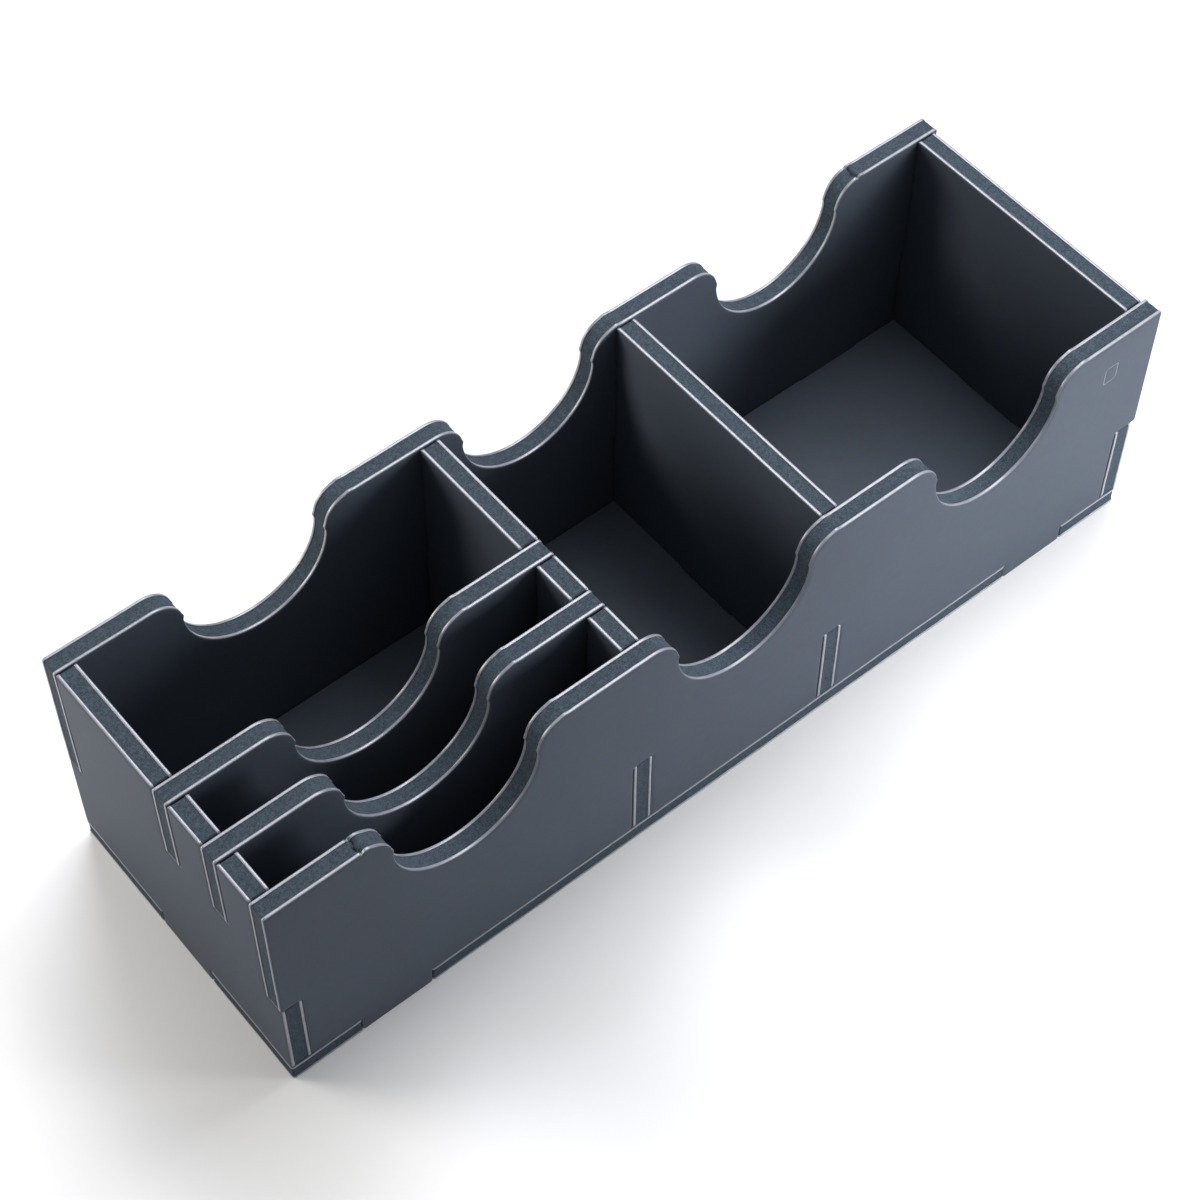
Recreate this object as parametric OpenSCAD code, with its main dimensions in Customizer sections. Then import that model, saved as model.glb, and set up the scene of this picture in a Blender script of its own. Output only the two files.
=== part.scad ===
// Board-game box insert: a long open tray of foam board panels that slot together.
// Origin: on the table, under the middle of the tray. +X runs along the tray, from the
// end with the three card slots to the other end. +Y runs from the front wall to the back
// wall, and +Z is up. Millimetres.

/* [Board] */
// Thickness of the foam board that every panel is cut from
board = 5; // [4:0.5:6]
// Play on each side of a tab in its slot
slot_play = 0.1; // [0.05:0.05:0.3]

/* [Tray] */
// Length between the outer faces of the two end walls
tray_l = 232; // [226:1:300]
// Width between the outer faces of the front and back walls
tray_w = 74.5; // [70:0.5:110]
// Height from the table to the top edges
tray_h = 65; // [56:1:90]
// How far the long walls run past the outer face of the right end wall
wall_overhang = 1.2; // [0:0.1:3]

/* [Compartments] */
// Clear length of the card section at the left end
left_section = 83; // [76:1:88]
// Clear length of the tile section in the middle
middle_section = 47; // [44:1:52]
// Clear width of the card slot along the front wall
front_slot = 10.5; // [7:0.5:14]
// Clear width of the card slot behind it
second_slot = 11; // [7:0.5:14]

/* [Finger cut-outs] */
// Radius of the round bottom of each cut-out
scoop_r = 17.5; // [12:0.5:18]
// Radius of the two rounded shoulders of each cut-out
shoulder_r = 6.5; // [4:0.5:8]

/* [Tabs] */
// Height of the top of the tabs that run through the front and back walls
side_tab_top = 28.5; // [20:0.5:32]
// Depth of the notches that the long dividers' ears hang in
ear_depth = 23; // [16:0.5:30]
// Length of each foot tab that goes down into the base
foot_l = 17.5; // [10:0.5:20]
// Distance from each end of the tray to the nearest foot tab of a long wall
foot_inset = 17.5; // [10:0.5:24]

/* [Hidden] */

$fn = 96;
// Overshoot of a cutting shape past the edge it cuts
past = 1;

// Lengths along the tray, counted from the outer face of the left end wall
left_divider_at = board + left_section;
right_divider_at = left_divider_at + board + middle_section;
right_end_at = tray_l - board;
left_middle = board + left_section / 2;
middle_middle = left_divider_at + board + middle_section / 2;
right_middle = (right_divider_at + board + right_end_at) / 2;
long_foot_starts = [foot_inset, tray_l - foot_inset - foot_l];

// Widths across the tray, counted from the outer face of the front wall
front_divider_at = board + front_slot;
rear_divider_at = front_divider_at + board + second_slot;
back_wall_at = tray_w - board;
cross_foot_start = (tray_w - foot_l) / 2;

// Where those two scales start in the tray's own frame
tray_left = -(tray_l + wall_overhang) / 2;
tray_front = -tray_w / 2;

face_colour = "#5c6069";
edge_colour = "#4a5560";

// Lays a flat outline down as a board whose underside is on the table
module lying_board() {
    translate([tray_left, tray_front, 0])
        linear_extrude(board) children();
}

// Stands an outline of length and height up as a board that runs along the tray
module long_board(at) {
    translate([tray_left, tray_front + at + board, 0])
        rotate([90, 0, 0])
            linear_extrude(board) children();
}

// Stands an outline of width and height up as a board that runs across the tray
module cross_board(at) {
    translate([tray_left + at, tray_front, 0])
        rotate([90, 0, 90])
            linear_extrude(board) children();
}

// A finger cut-out: a half circle that opens upwards between two rounded shoulders
module finger_cutout(middle) {
    half_mouth = scoop_r + shoulder_r;
    translate([middle, tray_h - shoulder_r]) {
        circle(r = scoop_r);
        difference() {
            translate([-half_mouth, 0])
                square([2 * half_mouth, shoulder_r + past]);
            for (side = [-1, 1])
                translate([side * half_mouth, 0])
                    circle(r = shoulder_r);
        }
    }
}

// What is cut off below a panel that stands on the base, all but its foot tabs
module base_relief(length, foot_starts) {
    difference() {
        translate([-past, -past])
            square([length + 2 * past, board + past]);
        for (start = foot_starts)
            translate([start, -2 * past])
                square([foot_l, board + 3 * past]);
    }
}

// A slot or notch as wide as the board with its play
module board_slot(at, bottom, top) {
    translate([at - slot_play, bottom])
        square([board + 2 * slot_play, top - bottom]);
}

// Front and back wall: the upper part covers the ends of the end walls, and the lower
// part fits between their tabs
module long_wall_outline() {
    wall_l = tray_l + wall_overhang;
    difference() {
        square([wall_l, tray_h]);
        base_relief(wall_l, long_foot_starts);
        translate([-past, -past])
            square([board + slot_play + past, side_tab_top + past]);
        translate([right_end_at - slot_play, -past])
            square([board + wall_overhang + slot_play + past, side_tab_top + past]);
        for (at = [left_divider_at, right_divider_at])
            board_slot(at, -past, side_tab_top);
        for (middle = [left_middle, middle_middle, right_middle])
            finger_cutout(middle);
    }
}

// End wall or cross divider: narrow between the long walls at the top, and with a side
// tab through each long wall below
module cross_panel_outline(notches) {
    difference() {
        square([tray_w, tray_h]);
        base_relief(tray_w, [cross_foot_start]);
        for (at = [-past, back_wall_at])
            translate([at, side_tab_top])
                square([board + past, tray_h]);
        for (at = notches)
            board_slot(at, tray_h - ear_depth, tray_h + past);
    }
}

// Long divider: its ears hang in the notches of the boards at both ends
module card_divider_outline() {
    divider_l = left_section + 2 * board;
    difference() {
        square([divider_l, tray_h]);
        base_relief(divider_l, [left_middle - foot_l / 2]);
        for (at = [-past, left_divider_at])
            translate([at, -past])
                square([board + past, tray_h - ear_depth + past]);
        finger_cutout(left_middle);
    }
}

// Base: one board, notched round its edge for the walls' feet and slotted for the dividers'
module base_panel() {
    foot_gap = foot_l + 2 * slot_play;
    cross_foot_at = cross_foot_start - slot_play;
    color(edge_colour)
        lying_board()
            difference() {
                square([tray_l, tray_w]);
                for (start = long_foot_starts) {
                    translate([start - slot_play, -past])
                        square([foot_gap, board + past]);
                    translate([start - slot_play, back_wall_at])
                        square([foot_gap, board + past]);
                }
                translate([-past, cross_foot_at])
                    square([board + past, foot_gap]);
                translate([right_end_at, cross_foot_at])
                    square([board + past, foot_gap]);
                for (at = [left_divider_at, right_divider_at])
                    translate([at - slot_play, cross_foot_at])
                        square([board + 2 * slot_play, foot_gap]);
                for (at = [front_divider_at, rear_divider_at])
                    translate([left_middle - foot_gap / 2, at - slot_play])
                        square([foot_gap, board + 2 * slot_play]);
            }
}

module front_wall() {
    color(face_colour)
        long_board(0) long_wall_outline();
}

module back_wall() {
    color(face_colour)
        long_board(back_wall_at) long_wall_outline();
}

module left_end_wall() {
    color(face_colour)
        cross_board(0) cross_panel_outline([front_divider_at, rear_divider_at]);
}

module right_end_wall() {
    color(face_colour)
        cross_board(right_end_at) cross_panel_outline([]);
}

module left_cross_divider() {
    color(face_colour)
        cross_board(left_divider_at) cross_panel_outline([front_divider_at, rear_divider_at]);
}

module right_cross_divider() {
    color(face_colour)
        cross_board(right_divider_at) cross_panel_outline([]);
}

module front_card_divider() {
    color(face_colour)
        long_board(front_divider_at) card_divider_outline();
}

module rear_card_divider() {
    color(face_colour)
        long_board(rear_divider_at) card_divider_outline();
}

base_panel();
front_wall();
back_wall();
left_end_wall();
right_end_wall();
left_cross_divider();
right_cross_divider();
front_card_divider();
rear_card_divider();
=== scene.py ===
# %% [markdown]
# # A card tray cut from foam board
# The object is the long tray of a board game's box insert. It holds cards and tiles in five
# compartments, and it has no moulded parts: nine flat boards are die cut from one sheet of 5 mm foam
# board, and pushed together through slots and tabs. So one way of making a board, used nine times, is
# the whole model, and all the care goes into the cut edge, because that is what the eye reads.
# Everything is worked out in millimetres and turned to metres when a mesh is made.

import math

import bpy
import numpy as np
from mathutils import Matrix, Vector
from mathutils.geometry import tessellate_polygon


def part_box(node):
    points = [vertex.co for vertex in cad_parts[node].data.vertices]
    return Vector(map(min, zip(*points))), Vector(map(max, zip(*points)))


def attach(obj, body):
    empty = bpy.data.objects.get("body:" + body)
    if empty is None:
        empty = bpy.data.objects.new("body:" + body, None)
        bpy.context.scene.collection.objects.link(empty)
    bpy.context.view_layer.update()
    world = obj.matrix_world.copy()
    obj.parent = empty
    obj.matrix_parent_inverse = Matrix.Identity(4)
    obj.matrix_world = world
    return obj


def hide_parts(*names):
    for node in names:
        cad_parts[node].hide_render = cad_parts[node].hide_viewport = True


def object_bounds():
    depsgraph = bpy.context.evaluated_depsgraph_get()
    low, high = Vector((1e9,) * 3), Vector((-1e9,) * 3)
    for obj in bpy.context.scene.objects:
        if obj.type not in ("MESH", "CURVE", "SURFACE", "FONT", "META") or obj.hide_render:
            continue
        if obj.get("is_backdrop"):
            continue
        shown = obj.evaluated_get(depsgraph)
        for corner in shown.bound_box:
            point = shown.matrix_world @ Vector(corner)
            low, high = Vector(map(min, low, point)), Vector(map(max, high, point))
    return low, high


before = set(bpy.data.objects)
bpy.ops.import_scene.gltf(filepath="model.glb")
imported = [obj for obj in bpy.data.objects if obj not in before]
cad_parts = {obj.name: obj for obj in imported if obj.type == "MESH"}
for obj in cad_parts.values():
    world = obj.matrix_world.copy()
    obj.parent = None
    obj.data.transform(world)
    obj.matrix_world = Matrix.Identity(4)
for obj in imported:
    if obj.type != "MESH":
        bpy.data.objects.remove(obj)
cad_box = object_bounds()
MM = 0.001
print("packed nodes:", ", ".join(sorted(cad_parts)))

# %% [markdown]
# ## Where the boards are
# Each board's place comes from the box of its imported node, so the looks can't drift from the design.
# Lengths are counted from the left end wall's outer face, widths from the front wall's outer face, and
# heights from the table, which is how the outlines further on are drawn. What a box cannot say, such as
# the radius of a finger cut-out or the height of a tab, is a named value here.


# %% Read the boards' places from the frame
def span(node, axis):
    """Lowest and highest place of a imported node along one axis, in millimetres."""
    low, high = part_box(node)
    return low[axis] / MM, high[axis] / MM


TRAY_LEFT, BASE_RIGHT = span("base_panel", 0)
TRAY_FRONT, TRAY_BACK = span("base_panel", 1)
BOARD = span("base_panel", 2)[1]
HEIGHT = span("front_wall", 2)[1]
LENGTH = BASE_RIGHT - TRAY_LEFT
WIDTH = TRAY_BACK - TRAY_FRONT
WALL_LENGTH = span("front_wall", 0)[1] - TRAY_LEFT
LEFT_DIVIDER_AT = span("left_cross_divider", 0)[0] - TRAY_LEFT
RIGHT_DIVIDER_AT = span("right_cross_divider", 0)[0] - TRAY_LEFT
RIGHT_END_AT = LENGTH - BOARD
FRONT_DIVIDER_AT = span("front_card_divider", 1)[0] - TRAY_FRONT
REAR_DIVIDER_AT = span("rear_card_divider", 1)[0] - TRAY_FRONT
BACK_WALL_AT = WIDTH - BOARD
LEFT_MIDDLE = (BOARD + LEFT_DIVIDER_AT) / 2
MIDDLE_MIDDLE = (LEFT_DIVIDER_AT + BOARD + RIGHT_DIVIDER_AT) / 2
RIGHT_MIDDLE = (RIGHT_DIVIDER_AT + BOARD + RIGHT_END_AT) / 2
print(f"tray {WALL_LENGTH:.1f} x {WIDTH:.1f} x {HEIGHT:.1f} mm, board {BOARD:.1f} mm")

# %% Sizes of the cut-outs, tabs and corners
SCOOP_R = 17.5        # round bottom of a finger cut-out
SHOULDER_R = 6.5      # rounded shoulder on each side of it
TAB_TOP = 28.5        # top of the tabs that run through the long walls
EAR_DEPTH = 23.0      # how far the card dividers' ears hang down in their notches
FOOT = 17.5           # length of a foot that goes down into the base
FOOT_INSET = 17.5     # from an end of the tray to the nearest foot of a long wall
PLAY = 0.1            # play on each side of a tab in its slot
KNIFE_R = 0.6         # how sharp a corner the cutting rule makes
MOUTH = SCOOP_R + SHOULDER_R
EAR_BOTTOM = HEIGHT - EAR_DEPTH
CROSS_FOOT_AT = (WIDTH - FOOT) / 2
FOOT_STARTS = (FOOT_INSET, LENGTH - FOOT_INSET - FOOT)
print(f"finger cut-outs {2 * MOUTH:.0f} mm wide, {MOUTH:.0f} mm deep")

# %% [markdown]
# ## The camera
# A tray is understood from above and from one corner: the long side, one end and the floors of the
# compartments all show. The camera could be placed by eye, but a turn, a rise and a distance round a
# target are easier to reason about, so it is placed by those, with a long lens that keeps the far end
# from shrinking much. It is tilted a third of a degree, as a camera held in the hand is.

# %% Place the camera
centre = (cad_box[0] + cad_box[1]) / 2
aim = centre + Vector((-5.82, 1.58, -7.15)) * MM
turn_round, rise, distance = math.radians(-39.53), math.radians(54.52), 595.95 * MM
back_off = Vector((
    math.sin(turn_round) * math.cos(rise),
    -math.cos(turn_round) * math.cos(rise),
    math.sin(rise),
))

camera = bpy.data.objects.new("camera", bpy.data.cameras.new("camera"))
camera.data.lens = 83.56
camera.data.sensor_width = 36.0
camera.data.clip_start = 0.02
camera.data.dof.use_dof = False
level = (-back_off).to_track_quat("-Z", "Y").to_matrix().to_4x4()
tilt = Matrix.Rotation(math.radians(0.35), 4, "Z")
camera.matrix_world = Matrix.Translation(aim + back_off * distance) @ level @ tilt
bpy.context.scene.collection.objects.link(camera)
bpy.context.scene.camera = camera
print("camera at", [round(value, 3) for value in camera.location])

# %% [markdown]
# ## An outline with rounded corners
# Every board is a flat outline with thickness. Its corners could be rounded afterwards with a Bevel
# modifier, but the same outline is needed many times over, each a little further in, to build the
# rounded lip of the cut edge. So the outline is a formula of its corners and of one number, the inset.
# A corner is a place and a radius, and a finger cut-out is then only four corners: two shoulders and
# two quarter circles. The board always lies to the left as the outline is walked.

# %% Work out an outline's points
ARC_STEP = 0.32       # spacing of points round an arc, in mm
SIDE_STEP = 0.8       # mean spacing along a straight side
CROWDING = 0.8        # how strongly a side's points crowd towards its two ends
SHARPEST = 0.02       # radius that a sharp corner keeps when its inset has used it up


def quarter_turn(rows):
    """Each row (x, y) turned a quarter turn to the left: (-y, x)."""
    return np.stack([-rows[:, 1], rows[:, 0]], axis=1)


def numbered(counts, steps, first):
    """Numbers counts[i] points from first for each item i.

    It returns the item of each point, and the point's number divided by steps[i].
    """
    item = np.repeat(np.arange(len(counts)), counts)
    number = np.arange(len(item)) - np.repeat(np.cumsum(counts) - counts, counts) + first
    return item, (number / np.maximum(steps, 1)[item])[:, None]


def outline(corners, inset):
    """Points of the closed outline of corners (x, y, radius), moved inwards by inset.

    A corner moves by inset times the sum of its two sides' left normals over one plus their dot product.
    Its arc starts radius times tan(turn / 2) before it, and swings through the turn round a centre one
    radius to the side; a left turn's radius shrinks by inset and a right turn's grows by it. The share of
    the way along a side is t - CROWDING * sin(2 pi t) / (2 pi), so points crowd where the shape changes.
    """
    place, radius = corners[:, :2], corners[:, 2]
    side = np.roll(place, -1, axis=0) - place
    length = np.linalg.norm(side, axis=1)
    leaving = side / length[:, None]
    arriving = np.roll(leaving, 1, axis=0)
    left, left_before = quarter_turn(leaving), quarter_turn(arriving)
    cosine = (leaving * arriving).sum(axis=1)
    turn = np.arctan2((left_before * leaving).sum(axis=1), cosine)
    reach = np.tan(np.abs(turn) / 2)

    straight = length - radius * reach - np.roll(radius * reach, -1)
    arc_steps = np.maximum(np.ceil(np.abs(turn) * radius / ARC_STEP), 4).astype(int)
    side_steps = np.where(straight > 0.01, np.ceil(straight / SIDE_STEP), 0).astype(int)

    place = place + inset * (left + left_before) / (1 + cosine)[:, None]
    radius = np.maximum(radius - np.sign(turn) * inset, SHARPEST)
    start = place - arriving * (radius * reach)[:, None]
    end = place + leaving * (radius * reach)[:, None]
    spoke = -left_before * (np.sign(turn) * radius)[:, None]

    item, share = numbered(arc_steps + (side_steps > 0), arc_steps, 0)
    angle = turn[item][:, None] * share
    arcs = (start - spoke)[item] + spoke[item] * np.cos(angle) + quarter_turn(spoke[item]) * np.sin(angle)
    along_item, share = numbered(np.maximum(side_steps - 1, 0), side_steps, 1)
    share = share - CROWDING * np.sin(2 * np.pi * share) / (2 * np.pi)
    sides = end[along_item] * (1 - share) + np.roll(start, -1, axis=0)[along_item] * share
    order = np.argsort(np.concatenate([2 * item, 2 * along_item + 1]), kind="stable")
    return np.concatenate([arcs, sides])[order]


# %% [markdown]
# ## The cut edge
# Foam board is a dark foam core between two thin, hard skins. The cutting rule presses the skin down
# before it breaks through, so the skin rolls over the edge, turns pale where it was stretched, and ends
# in a crisp line, and the softer core springs back a little behind it. A Bevel modifier would round the
# edge, but it has only one shape. Here the edge is a profile, a short list of steps from the face to the
# middle of the board, and the outline carries it all the way round, mirrored for the other face.

# %% The edge profile, from a face to the middle of the board
SKIN, PALE, CORE = 0, 1, 2
HALF_PROFILE = np.array([
    # inset, depth below the face, finish of the strip that follows
    (1.50, 0.000, SKIN),
    (0.95, 0.008, SKIN),
    (0.55, 0.030, SKIN),
    (0.30, 0.065, SKIN),
    (0.15, 0.120, SKIN),
    (0.05, 0.190, SKIN),
    (0.00, 0.270, PALE),
    (0.00, 0.760, PALE),
    (0.04, 0.820, CORE),
    (0.12, 0.850, CORE),
    (0.15, 1.150, CORE),
    (0.16, 1.600, CORE),
    (0.16, 2.050, CORE),
])
lip = HALF_PROFILE[::-1].copy()
lip[:, 1] = BOARD - lip[:, 1]
RING_INSET = np.concatenate([HALF_PROFILE[:, 0], [0.15], lip[:, 0]])
RING_DEPTH = np.concatenate([HALF_PROFILE[:, 1], [BOARD / 2], lip[:, 1]])
STRIP_FINISH = np.concatenate([HALF_PROFILE[:, 2], HALF_PROFILE[::-1, 2]]).astype(int)
RIM = 1 - RING_INSET / RING_INSET.max()
print(f"{len(RING_INSET)} rings round each board")

# %% The profile of a line pressed into a face, from its inner to its outer side
PRESS_INSET = np.array([0.42, 0.26, 0.13, 0.0, -0.13, -0.26, -0.42])
PRESS_DEPTH = np.array([0.0, 0.0, 0.09, 0.13, 0.09, 0.0, 0.0])
PRESS_RIM = np.array([0.0, 0.0, 0.97, 1.0, 0.97, 0.0, 0.0])
PRESS_FINISH = np.full(len(PRESS_INSET) - 1, SKIN)

# %% [markdown]
# ## Little faults of the cutting die
# The die's steel rule is bent by hand and butted together where an arc meets a straight. At those places
# it leaves a small step, a proud nib or a nick across the edge, always at the same spot of the same cut.
# They could be sculpted, but each is only a bell-shaped bump of the outline, so a list of places with a
# width and a height says it all. A very slow waver keeps the long straight edges from being perfect.

# %% Move an outline in and out
WAVER = 0.018         # height of the knife's waver, in mm
WANDER = 0.35         # how far a nick strays sideways on its way through the board


def stand_out(points, faults, depth):
    """How far each outline point stands out from the true line at a depth in the board, in mm.

    The waver is three sines with 11, 29 and 67 whole waves along the outline, so that it closes on itself.
    Each fault (x, y, width, height) adds height * exp(-(distance / width)^2). A nick, whose height is
    negative, strays by WANDER * sin(2.2 * depth) and is 1 + sin(pi * depth / BOARD) times as deep.
    """
    step = np.linalg.norm(np.roll(points, -1, axis=0) - points, axis=1)
    along = 2 * np.pi * (np.cumsum(step) - step) / step.sum()
    height = WAVER * (np.sin(11 * along) + 0.7 * np.sin(29 * along + 1.3) + 0.5 * np.sin(67 * along + 4.1))
    for x, y, width, bump in faults:
        nick = bump < 0
        place = (x + nick * WANDER * math.sin(2.2 * depth), y)
        bump = bump * (1 + nick * math.sin(math.pi * depth / BOARD))
        distance = np.linalg.norm(points - place, axis=1)
        height += bump * np.exp(-((distance / width) ** 2))
    return height


def edge_rings(corners, faults):
    """Rings of the cut edge, as (ring, point, xy): each is the outline at that ring's inset, pushed out by
    the faults in full at the rim and not at all at the innermost ring."""
    rim = outline(corners, 0)
    travel = np.roll(rim, -1, axis=0) - np.roll(rim, 1, axis=0)
    outward = -quarter_turn(travel) / np.linalg.norm(travel, axis=1)[:, None]
    push = np.stack([outward * stand_out(rim, faults, depth)[:, None] for depth in RING_DEPTH])
    rings = np.stack([outline(corners, inset) for inset in RING_INSET])
    return rings + RIM[:, None, None] * push


# %% [markdown]
# ## From rings to a closed board
# The strips between the rings are quads on a grid, one side of the grid running round the outline and
# the other through the board. The two flat faces are what is left inside the first and the last ring.
# An n-gon with holes is not allowed in a mesh, so they are cut into triangles. Everything shares its
# points, so the board is one watertight skin, and its volume can be measured as a check.

# %% Strips, flat faces and their place in the tray
def strip_quads(grid):
    """Quads between neighbouring rings of a grid of point numbers (ring, point), closed round the ring."""
    onward = np.roll(grid, -1, axis=1)
    return np.stack([grid[:-1], grid[1:], onward[1:], onward[:-1]], axis=2).reshape(-1, 4)


def flat_face(loops, numbers):
    """Triangles that fill the first loop less the others, each turned anticlockwise."""
    flat = np.concatenate(loops)
    in_space = [np.column_stack([loop, np.zeros(len(loop))]).tolist() for loop in loops]
    triangles = np.array(tessellate_polygon(in_space))
    a, b, c = (flat[triangles[:, k]] for k in range(3))
    backwards = ((b - a) * -quarter_turn(c - a)).sum(axis=1) < 0
    triangles[backwards] = triangles[backwards][:, ::-1]
    return np.concatenate(numbers)[triangles]


def place_board(flat, depth, origin, across, up):
    """Points in the tray's frame: origin + x * across + y * up, less each ring's depth times the cross
    product of across and up."""
    through = -np.cross(across, up)
    return origin + flat[..., :1] * across + flat[..., 1:] * up + depth[:, None, None] * through


# %% Put a surface into a mesh
CUBIC_MM_PER_CM3 = 1000
CREASE = 38           # an edge sharper than this, in degrees, is shaded crisp


def enclosed(points, triangles):
    """Volume inside a closed surface in cubic centimetres: the sum of a . (b x c) / 6 over its triangles."""
    a, b, c = (points[triangles[:, k]] for k in range(3))
    return (a * np.cross(b, c)).sum() / 6 / CUBIC_MM_PER_CM3


def make_piece(name, points, quads, triangles, finish, rim):
    """Puts a surface into a mesh, in metres, with its finishes, its rim attribute and its crisp edges.

    The quads of the edge are shaded smooth and have a finish each; the triangles are flat and are skin.
    """
    mesh = bpy.data.meshes.new(name)
    mesh.from_pydata((points * MM).tolist(), [], quads.tolist() + triangles.tolist())
    mesh.polygons.foreach_set("material_index", np.concatenate([finish, np.full(len(triangles), SKIN)]))
    mesh.polygons.foreach_set("use_smooth", np.arange(len(quads) + len(triangles)) < len(quads))
    mesh.attributes.new("rim", "FLOAT", "POINT").data.foreach_set("value", rim.astype(np.float32))
    mesh.set_sharp_from_angle(angle=math.radians(CREASE))
    mesh.update()
    halves = np.concatenate([quads[:, [0, 1, 2]], quads[:, [0, 2, 3]], triangles])
    print(f"{name}: {len(halves)} triangles, {enclosed(points, halves):.1f} cm3")
    piece = bpy.data.objects.new(name, mesh)
    bpy.context.scene.collection.objects.link(piece)
    return piece


# %% Build one board
def build_board(name, outlines, origin, across, up, faults=(), pressed=()):
    """One board as a mesh piece, from its outlines (the outer one, then any holes) and the closed lines
    pressed into its near face."""
    edges = [edge_rings(np.array(corners), faults) for corners in outlines]
    marks = [np.stack([outline(np.array(corners), inset) for inset in PRESS_INSET]) for corners in pressed]
    loops = edges + marks
    depths = [RING_DEPTH] * len(edges) + [PRESS_DEPTH] * len(marks)
    rims = [RIM] * len(edges) + [PRESS_RIM] * len(marks)
    finishes = [STRIP_FINISH] * len(edges) + [PRESS_FINISH] * len(marks)

    grids = [np.arange(loop[..., 0].size).reshape(loop.shape[:2]) for loop in loops]
    starts = np.cumsum([0] + [grid.size for grid in grids])
    grids = [grid + start for grid, start in zip(grids, starts)]
    places = [place_board(loop, depth, origin, across, up) for loop, depth in zip(loops, depths)]
    points = [place.reshape(-1, 3) for place in places]
    rim = [np.repeat(values, loop.shape[1]) for values, loop in zip(rims, loops)]
    finish = [np.repeat(values, loop.shape[1]) for values, loop in zip(finishes, loops)]
    quads = [strip_quads(grid) for grid in grids]

    last = len(edges)
    near_loops = [loop[0] for loop in edges] + [loop[-1] for loop in marks]
    near_grids = [grid[0] for grid in grids[:last]] + [grid[-1] for grid in grids[last:]]
    faces = [flat_face(near_loops, near_grids)]
    faces += [flat_face([loop[-1] for loop in edges], [grid[-1] for grid in grids[:last]])[:, ::-1]]
    faces += [flat_face([loop[0]], [grid[0]]) for loop, grid in zip(marks, grids[last:])]
    return make_piece(name, *(np.concatenate(part) for part in (points, quads, faces, finish, rim)))


# %% [markdown]
# ## A helper for materials
# A material is a handful of nodes that feed one shader. One function adds a node, sets it and joins it,
# so that each finish below reads like a recipe. Colours are written as the sRGB hex values that a colour
# picker shows, and turned to the linear numbers that light is counted in.

# %% Colours and nodes
def linear(hex_colour):
    """An sRGB hex colour as linear red, green, blue and full alpha."""
    channels = np.array([int(hex_colour[i:i + 2], 16) for i in (1, 3, 5)]) / 255
    light = np.where(channels <= 0.04045, channels / 12.92, ((channels + 0.055) / 1.055) ** 2.4)
    return (*light, 1.0)


def add(material, kind, settings={}, **sockets):
    """Adds one node. The settings are its own properties, and each socket gets a value or the output that
    feeds it. A socket is named by its label with _ for spaces, or by in_ and its number."""
    node = material.node_tree.nodes.new(kind)
    for name, value in settings.items():
        setattr(node, name, value)
    for name, value in sockets.items():
        key = int(name[3:]) if name.startswith("in_") else name.replace("_", " ")
        if isinstance(value, bpy.types.NodeSocket):
            material.node_tree.links.new(value, node.inputs[key])
        else:
            node.inputs[key].default_value = value
    return node


def blank_material(name):
    """An empty node material, and the Object coordinates that every pattern starts from."""
    material = bpy.data.materials.new(name)
    material.use_nodes = True
    material.node_tree.nodes.clear()
    place = add(material, "ShaderNodeTexCoord").outputs["Object"]
    return material, place


def per_mm(size):
    """The Scale that makes a pattern's features about size millimetres across."""
    return 1 / (size * MM)


# %% [markdown]
# ## The skin
# The faces are a thin film of dark grey polystyrene laminated to the foam, with a dull, satin surface.
# A plain grey would look like paint. What gives the film away is a very fine orange peel left by the
# foam's cells under it, a faint cloudiness in colour and gloss, and the paler rim where the
# cutting rule stretched it over the edge. The rim needs to follow the edge, so it reads the rim
# attribute that each board carries, and the rest reads Object coordinates.

# %% Laminated polystyrene skin
def polystyrene_skin():
    """Satin film on foam, with polystyrene's IOR of 1.59. The film is so finely pitted that it hardly
    mirrors, so its specular level is low, and roughness is about 0.6. The orange peel is 0.7 mm across."""
    material, place = blank_material("laminated_polystyrene_skin")
    cloud = add(material, "ShaderNodeTexNoise", Vector=place, Scale=per_mm(26), Detail=3.0, Roughness=0.55)
    fleck = add(material, "ShaderNodeTexNoise", Vector=place, Scale=per_mm(1.6), Detail=2.0, Roughness=0.6)
    peel = add(material, "ShaderNodeTexNoise", Vector=place, Scale=per_mm(0.7), Detail=2.0, Roughness=0.5)
    base = add(material, "ShaderNodeMix", {"data_type": "RGBA"},
               Factor=cloud.outputs[0], in_6=linear("#404751"), in_7=linear("#474e59"))
    grain = add(material, "ShaderNodeMix", {"data_type": "RGBA", "blend_type": "OVERLAY"},
                Factor=0.12, in_6=base.outputs[2], in_7=fleck.outputs[1])
    rim = add(material, "ShaderNodeAttribute", {"attribute_name": "rim"})
    stretched = add(material, "ShaderNodeMapRange", {"interpolation_type": "SMOOTHSTEP"},
                    Value=rim.outputs["Fac"], From_Min=0.86, From_Max=1.0)
    colour = add(material, "ShaderNodeMix", {"data_type": "RGBA"},
                 Factor=stretched.outputs[0], in_6=grain.outputs[2], in_7=linear("#7b7e87"))
    gloss = add(material, "ShaderNodeMapRange", Value=cloud.outputs[0], To_Min=0.55, To_Max=0.66)
    bump = add(material, "ShaderNodeBump", Strength=0.5, Distance=0.02 * MM, Height=peel.outputs[0])
    shader = add(material, "ShaderNodeBsdfPrincipled", Base_Color=colour.outputs[2],
                 Roughness=gloss.outputs[0], IOR=1.59, Specular_IOR_Level=0.1, Normal=bump.outputs[0])
    add(material, "ShaderNodeOutputMaterial", Surface=shader.outputs[0])
    return material


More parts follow.
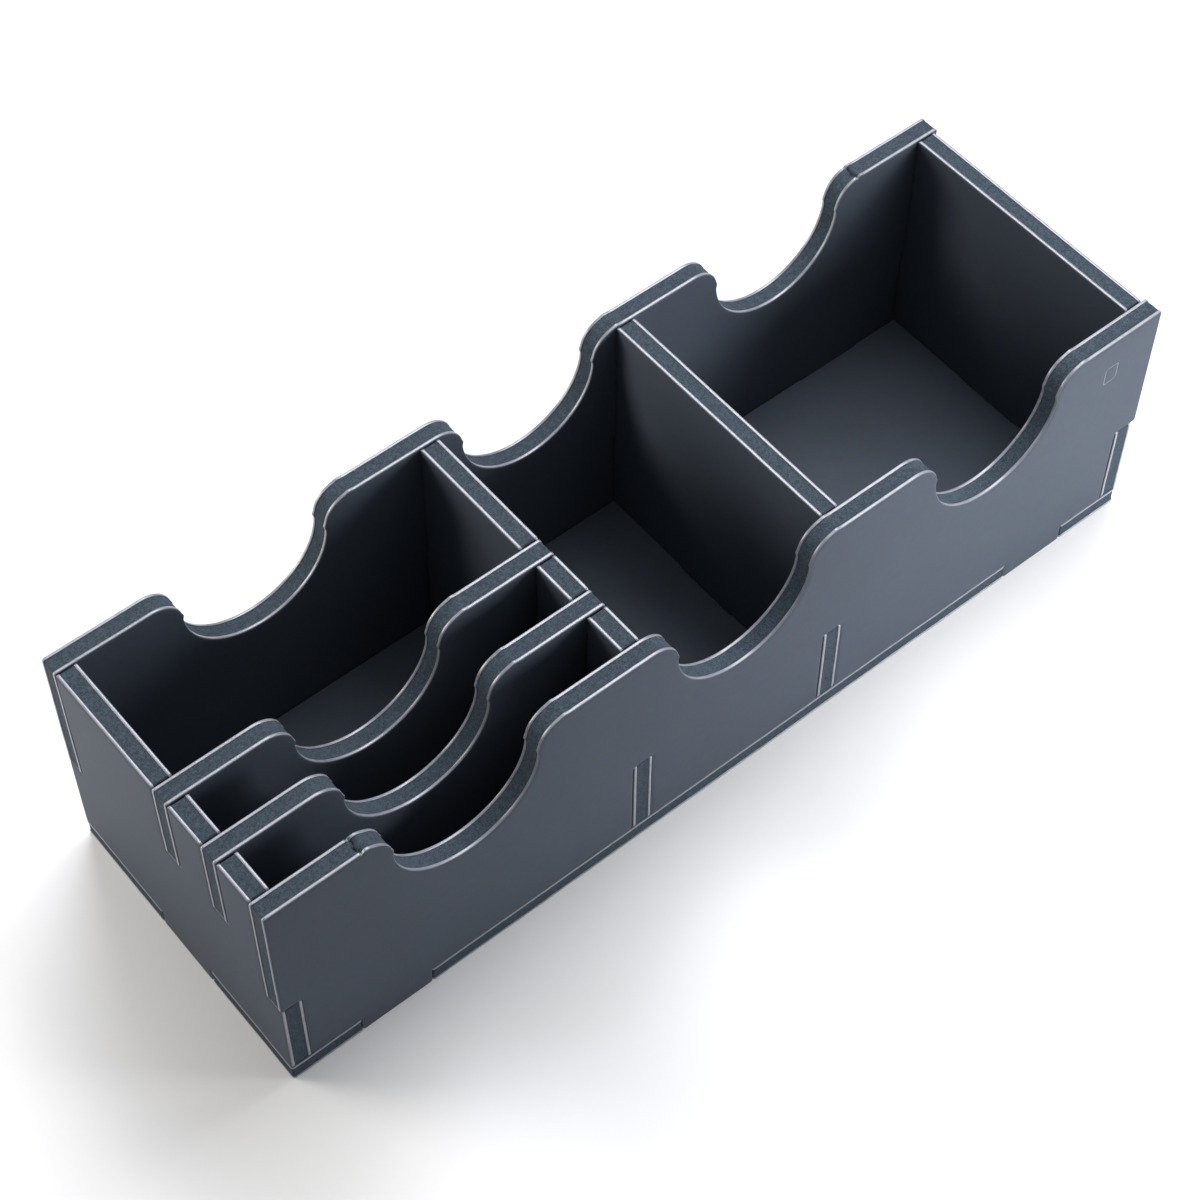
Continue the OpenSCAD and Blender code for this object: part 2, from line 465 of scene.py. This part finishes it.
# %% [markdown]
# ## The pale line
# Dark polystyrene that is stretched or torn turns almost white, because tiny cracks scatter the light.
# That is the thin pale line along every cut edge, and it draws the whole object. A white colour alone
# would look like a painted stripe, so its brightness changes along the edge, in short streaks that run
# through the board, as the rule drags the film down.

# %% Stress-whitened film at the cut
def whitened_film():
    """Stretched film: IOR 1.59 as polystyrene, and smoother than the face, roughness 0.36, because the
    rule burnished it; the many faces of its tiny cracks mirror more than one surface would, so the specular
    level is high. Its streaks are about 2 mm long, with finer tears of 0.35 mm."""
    material, place = blank_material("stress_whitened_film")
    streak = add(material, "ShaderNodeTexNoise", Vector=place, Scale=per_mm(2.2), Detail=3.0, Roughness=0.6)
    tear = add(material, "ShaderNodeTexNoise", Vector=place, Scale=per_mm(0.35), Detail=1.0, Roughness=0.5)
    drag = add(material, "ShaderNodeMapRange", Value=streak.outputs[0], From_Min=0.32, From_Max=0.62)
    colour = add(material, "ShaderNodeMix", {"data_type": "RGBA"},
                 Factor=drag.outputs[0], in_6=linear("#6d6f78"), in_7=linear("#83858f"))
    bump = add(material, "ShaderNodeBump", Strength=0.6, Distance=0.03 * MM, Height=tear.outputs[0])
    shader = add(material, "ShaderNodeBsdfPrincipled", Base_Color=colour.outputs[2],
                 Roughness=0.36, IOR=1.59, Specular_IOR_Level=1.0, Normal=bump.outputs[0])
    add(material, "ShaderNodeOutputMaterial", Surface=shader.outputs[0])
    return material


# %% [markdown]
# ## The foam core
# The core is extruded polystyrene foam, coloured through with a blue-grey. A knife opens its closed
# cells, so the cut face is a field of tiny cups: quite matt, and mottled where cells are larger. Real
# cells are about 0.15 mm, too fine to show in a picture of the whole tray, so they are drawn at 0.4 mm.

# %% Closed-cell foam, cut
def cut_foam():
    """Foamed polystyrene: fully matt, a Voronoi pattern of cells drawn at 0.4 mm (0.15 mm is real). Each
    cell's colour is darker in its middle and lighter at its walls, which is painted shade in the hollow of
    each cut cup.
    """
    material, place = blank_material("cut_closed_cell_foam")
    cells = add(material, "ShaderNodeTexVoronoi", Vector=place, Scale=per_mm(0.4))
    mottle = add(material, "ShaderNodeTexNoise", Vector=place, Scale=per_mm(1.0), Detail=3.0, Roughness=0.7)
    patch = add(material, "ShaderNodeMapRange", Value=mottle.outputs[0], From_Min=0.35, From_Max=0.65)
    base = add(material, "ShaderNodeMix", {"data_type": "RGBA"},
               Factor=patch.outputs[0], in_6=linear("#2f3841"), in_7=linear("#39434c"))
    # Painted shade: the colour is multiplied by 0.6 in the middle of each cell, rising to 1.36 towards its
    # walls, so the hollow of each cut cup looks shaded.
    painted_cup_shade = add(material, "ShaderNodeMapRange", Value=cells.outputs[0], From_Max=0.7, To_Min=0.6, To_Max=1.36)
    colour = add(material, "ShaderNodeMix", {"data_type": "RGBA", "blend_type": "MULTIPLY"},
                 Factor=1.0, in_6=base.outputs[2], in_7=painted_cup_shade.outputs[0])
    bump = add(material, "ShaderNodeBump", Strength=0.7, Distance=0.08 * MM, Height=cells.outputs[0])
    shader = add(material, "ShaderNodeBsdfPrincipled", Base_Color=colour.outputs[2],
                 Roughness=0.95, IOR=1.3, Normal=bump.outputs[0])
    add(material, "ShaderNodeOutputMaterial", Surface=shader.outputs[0])
    return material


FINISHES = (polystyrene_skin(), whitened_film(), cut_foam())
print("finishes:", ", ".join(finish.name for finish in FINISHES))


# %% [markdown]
# ## Putting a board on the tray
# Three kinds of board differ only in how their flat outline stands in the tray: lying, along it or
# across it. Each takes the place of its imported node, and rides on the one body that the tray has.

# %% Finish a board
def settle(piece, node):
    """Gives a board its three finishes, hides the imported node it replaces, and hangs it on the tray's one
    body.
    """
    for finish in FINISHES:
        piece.data.materials.append(finish)
    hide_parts(node)
    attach(piece, "root")


X, Y, Z = np.eye(3)


def long_board(node, at, outlines, faults, pressed=()):
    """A board that runs along the tray, its near face at width at."""
    origin = np.array([TRAY_LEFT, TRAY_FRONT + at, 0])
    settle(build_board(node + "_board", outlines, origin, X, Z, faults, pressed), node)


def cross_board(node, at, outlines, faults):
    """A board that runs across the tray, between lengths at and at plus its thickness."""
    origin = np.array([TRAY_LEFT + at + BOARD, TRAY_FRONT, 0])
    settle(build_board(node + "_board", outlines, origin, Y, Z, faults), node)


# %% [markdown]
# ## The shapes that repeat in the outlines
# A foot, a slot, a notch and a finger cut-out come back on many boards. Each is a short function that
# returns its corners in walking order, so that an outline below is a list of what one passes on the way
# round the board.

# %% Corners of the repeated shapes
def sharp(*places):
    """Corners as sharp as the cutting rule makes them."""
    return [(x, y, KNIFE_R) for x, y in places]


def foot(start):
    """A foot below the board, walked from left to right."""
    return sharp((start, BOARD), (start, 0), (start + FOOT, 0), (start + FOOT, BOARD))


def slot_from_below(at):
    """A slot for a cross board's tab, open at the bottom, walked from left to right."""
    left, right = at - PLAY, at + BOARD + PLAY
    return sharp((left, BOARD), (left, TAB_TOP), (right, TAB_TOP), (right, BOARD))


def notch_from_above(at):
    """A notch for a card divider's ear, open at the top, walked from right to left."""
    left, right = at - PLAY, at + BOARD + PLAY
    return sharp((right, HEIGHT), (right, EAR_BOTTOM), (left, EAR_BOTTOM), (left, HEIGHT))


def finger_cutout(middle):
    """Two shoulders with a half circle between them, walked from right to left."""
    left, right, bottom = middle - SCOOP_R, middle + SCOOP_R, HEIGHT - MOUTH
    right_side = [(right, HEIGHT, SHOULDER_R), (right, bottom, SCOOP_R)]
    return right_side + [(left, bottom, SCOOP_R), (left, HEIGHT, SHOULDER_R)]


def cutout_faults(middle):
    """Where the rules of a cut-out's die meet: a cusp under each shoulder, and a nib at its top right."""
    waist = HEIGHT - SHOULDER_R
    return [
        (middle - SCOOP_R, waist, 0.7, 0.28),
        (middle + SCOOP_R, waist, 0.7, 0.28),
        (middle + MOUTH, HEIGHT, 0.9, 0.26),
    ]


# %% [markdown]
# ## The base
# The base is one board on its face. Notches in its edge take the feet of the four walls and slots in it
# take the feet of the dividers, so nothing can slide while the glue sets.

# %% Base panel
def hole(left, near, right, far):
    """A rectangular hole, walked clockwise so that the board is on the left."""
    return sharp((left, near), (left, far), (right, far), (right, near))


def base_outline():
    """The base's outer outline, walked anticlockwise from its front left corner."""
    near, far = CROSS_FOOT_AT - PLAY, CROSS_FOOT_AT + FOOT + PLAY
    gaps = [(start - PLAY, start + FOOT + PLAY) for start in FOOT_STARTS]
    front = [p for left, right in gaps for p in ((left, 0), (left, BOARD), (right, BOARD), (right, 0))]
    right_end = [(LENGTH, 0), (LENGTH, near), (RIGHT_END_AT, near), (RIGHT_END_AT, far), (LENGTH, far)]
    back = [(x, WIDTH - y) for x, y in reversed(front)]
    left_end = [(0, WIDTH), (0, far), (BOARD, far), (BOARD, near), (0, near)]
    return sharp((0, 0), *front, *right_end, (LENGTH, WIDTH), *back, *left_end)


def base_slots():
    """The slots for the feet of the two cross dividers and of the two card dividers."""
    near, far = CROSS_FOOT_AT - PLAY, CROSS_FOOT_AT + FOOT + PLAY
    half = FOOT / 2 + PLAY
    across = [hole(at - PLAY, near, at + BOARD + PLAY, far) for at in (LEFT_DIVIDER_AT, RIGHT_DIVIDER_AT)]
    along = [
        hole(LEFT_MIDDLE - half, at - PLAY, LEFT_MIDDLE + half, at + BOARD + PLAY)
        for at in (FRONT_DIVIDER_AT, REAR_DIVIDER_AT)
    ]
    return across + along


base_origin = np.array([TRAY_LEFT, TRAY_FRONT, BOARD])
base = build_board("base_panel_board", [base_outline(), *base_slots()], base_origin, X, Y)
settle(base, "base_panel")

# %% [markdown]
# ## The long walls
# Front and back wall are the same cut: three finger cut-outs along the top, two slots from below for the
# dividers' tabs, two feet, and a step at each end that the end walls' tabs close. They run a little past
# the right end wall. On the front wall's left shoulder and the back wall's right one, the two rules of
# the die crossed and left a nick across the edge, and a small rectangle is lightly pressed into the front
# wall's face near its right end.

# %% Front and back wall
def long_wall_outline():
    """A long wall's outline, walked anticlockwise from the left foot."""
    right_step = RIGHT_END_AT - PLAY
    below = foot(FOOT_STARTS[0]) + slot_from_below(LEFT_DIVIDER_AT) + slot_from_below(RIGHT_DIVIDER_AT)
    below += foot(FOOT_STARTS[1])
    right = sharp((right_step, BOARD), (right_step, TAB_TOP), (WALL_LENGTH, TAB_TOP), (WALL_LENGTH, HEIGHT))
    above = [p for middle in (RIGHT_MIDDLE, MIDDLE_MIDDLE, LEFT_MIDDLE) for p in finger_cutout(middle)]
    left = sharp((0, HEIGHT), (0, TAB_TOP), (BOARD + PLAY, TAB_TOP), (BOARD + PLAY, BOARD))
    return below + right + above + left


def press_mark():
    """The rectangle pressed into the front wall, 3.6 mm wide and 4.9 mm high, walked anticlockwise."""
    left, right, low, high = WALL_LENGTH - 14.9, WALL_LENGTH - 11.3, HEIGHT - 13.3, HEIGHT - 8.4
    return [(x, y, 0.5) for x, y in ((left, low), (right, low), (right, high), (left, high))]


cutout_middles = (LEFT_MIDDLE, MIDDLE_MIDDLE, RIGHT_MIDDLE)
wall_faults = [fault for middle in cutout_middles for fault in cutout_faults(middle)]
front_nick_at = LEFT_MIDDLE - MOUTH - 0.3
front_nick = [(front_nick_at, HEIGHT, 0.27, -0.46), (front_nick_at + 1.7, HEIGHT, 1.0, 0.26)]
back_nick = [(RIGHT_MIDDLE + MOUTH - 0.9, HEIGHT, 0.28, -0.5)]
long_board("front_wall", 0, [long_wall_outline()], wall_faults + front_nick, [press_mark()])
long_board("back_wall", BACK_WALL_AT, [long_wall_outline()], wall_faults + back_nick)

# %% [markdown]
# ## The cross boards
# Two end walls and two dividers stand across the tray. Above, they fit between the long walls; below, a
# tab on each side runs out through the long wall and ends flush with its face, where its foam shows as
# a small upright bar. The two on the left are notched for the ears of the card dividers.

# %% End walls and cross dividers
def cross_outline(notches):
    """A cross board's outline, walked anticlockwise from its foot; notches are listed from back to front."""
    below = foot(CROSS_FOOT_AT)
    back = sharp((WIDTH, BOARD), (WIDTH, TAB_TOP), (BACK_WALL_AT, TAB_TOP), (BACK_WALL_AT, HEIGHT))
    above = [p for at in notches for p in notch_from_above(at)]
    front = sharp((BOARD, HEIGHT), (BOARD, TAB_TOP), (0, TAB_TOP), (0, BOARD))
    return below + back + above + front


EAR_NOTCHES = (REAR_DIVIDER_AT, FRONT_DIVIDER_AT)
cross_board("left_end_wall", 0, [cross_outline(EAR_NOTCHES)], ())
cross_board("left_cross_divider", LEFT_DIVIDER_AT, [cross_outline(EAR_NOTCHES)], ())
cross_board("right_cross_divider", RIGHT_DIVIDER_AT, [cross_outline(())], ())
cross_board("right_end_wall", RIGHT_END_AT, [cross_outline(())], ())

# %% [markdown]
# ## The card dividers
# Two long dividers split the left section into three card slots. Each hangs by an ear at either end,
# drops a foot into the base, and has the same finger cut-out as the walls, in line with theirs, so that
# one pair of fingers reaches through all of them.

# %% Front and rear card divider
def card_divider_outline():
    """A card divider's outline, walked anticlockwise from the lower left corner of its body."""
    right_ear = LEFT_DIVIDER_AT + BOARD
    below = sharp((BOARD, BOARD)) + foot(LEFT_MIDDLE - FOOT / 2) + sharp((LEFT_DIVIDER_AT, BOARD))
    right = sharp((LEFT_DIVIDER_AT, EAR_BOTTOM), (right_ear, EAR_BOTTOM), (right_ear, HEIGHT))
    left = sharp((0, HEIGHT), (0, EAR_BOTTOM), (BOARD, EAR_BOTTOM))
    return below + right + finger_cutout(LEFT_MIDDLE) + left


for node, at in (("front_card_divider", FRONT_DIVIDER_AT), ("rear_card_divider", REAR_DIVIDER_AT)):
    long_board(node, at, [card_divider_outline()], cutout_faults(LEFT_MIDDLE))

# %% [markdown]
# ## The studio
# A matt object with thin bright lines wants soft, plain light: lamps that are wide for their distance, so
# that every shadow has a blurred edge. A wide lamp overhead lights the top edges and the table, and a
# nearer one makes the right-hand end brighter. One high at the back right stands where the burnished
# lines mirror it to the camera. Two weak, low lamps let each side grow brighter towards one end, and a
# grid on the front one keeps its light off the left end. The pale table throws the rest back up.

# %% Table and lamps
def soft_lamp(name, place, target, size, watts, colour, spread=180):
    """A square area lamp at place, turned to face target, all in metres; a grid can narrow its spread."""
    data = bpy.data.lights.new(name, "AREA")
    data.shape, data.size = "SQUARE", size
    data.energy, data.color = watts, linear(colour)[:3]
    data.spread = math.radians(spread)
    lamp = bpy.data.objects.new(name, data)
    lamp.location = place
    lamp.rotation_euler = (Vector(target) - Vector(place)).to_track_quat("-Z", "Y").to_euler()
    bpy.context.scene.collection.objects.link(lamp)


def pale_table():
    """A wide, matt, nearly white table top just under the tray."""
    half, below = 1.5, 0.00005
    mesh = bpy.data.meshes.new("table")
    corners = [(-half, -half, -below), (half, -half, -below), (half, half, -below), (-half, half, -below)]
    mesh.from_pydata(corners, [], [(0, 1, 2, 3)])
    material, place = blank_material("white_matt_paper")
    cloud = add(material, "ShaderNodeTexNoise", Vector=place, Scale=per_mm(180), Detail=2.0)
    colour = add(material, "ShaderNodeMix", {"data_type": "RGBA"},
                 Factor=cloud.outputs[0], in_6=linear("#f3f3f4"), in_7=linear("#f6f6f7"))
    shader = add(material, "ShaderNodeBsdfPrincipled", Base_Color=colour.outputs[2], Roughness=0.85)
    add(material, "ShaderNodeOutputMaterial", Surface=shader.outputs[0])
    mesh.materials.append(material)
    table = bpy.data.objects.new("table", mesh)
    bpy.context.scene.collection.objects.link(table)
    table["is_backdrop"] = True


pale_table()
soft_lamp("overhead", (0.05, 0.05, 1.2), (0, 0, 0.03), 0.9, 3.0, "#ffffff")
soft_lamp("overhead_right", (0.22, 0.05, 0.45), (0, 0, 0.03), 0.3, 1.5, "#ffffff")
soft_lamp("high_back_right", (0.38, 0.62, 0.98), (0, 0, 0.03), 0.5, 7.4, "#f3f5ff")
soft_lamp("low_right_front", (0.20, -0.26, 0.11), (0.06, 0, 0.03), 0.14, 0.215, "#fcfdff", 70)
soft_lamp("low_left_back", (-0.32, 0.26, 0.16), (0, 0, 0.03), 0.2, 1.08, "#fffaf0")

world = bpy.data.worlds.new("studio")
world.use_nodes = True
world.node_tree.nodes["Background"].inputs["Color"].default_value = linear("#f6f8fb")
world.node_tree.nodes["Background"].inputs["Strength"].default_value = 0.2
bpy.context.scene.world = world
bpy.context.scene.view_settings.view_transform = "Standard"

# %% Print the sizes and finish
sizes = {
    "cad_box": [list(corner) for corner in cad_box],
    "visual_box": [list(corner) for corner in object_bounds()],
}
for name, box in sizes.items():
    print(name, "in mm:", [[round(value / MM, 2) for value in corner] for corner in box])
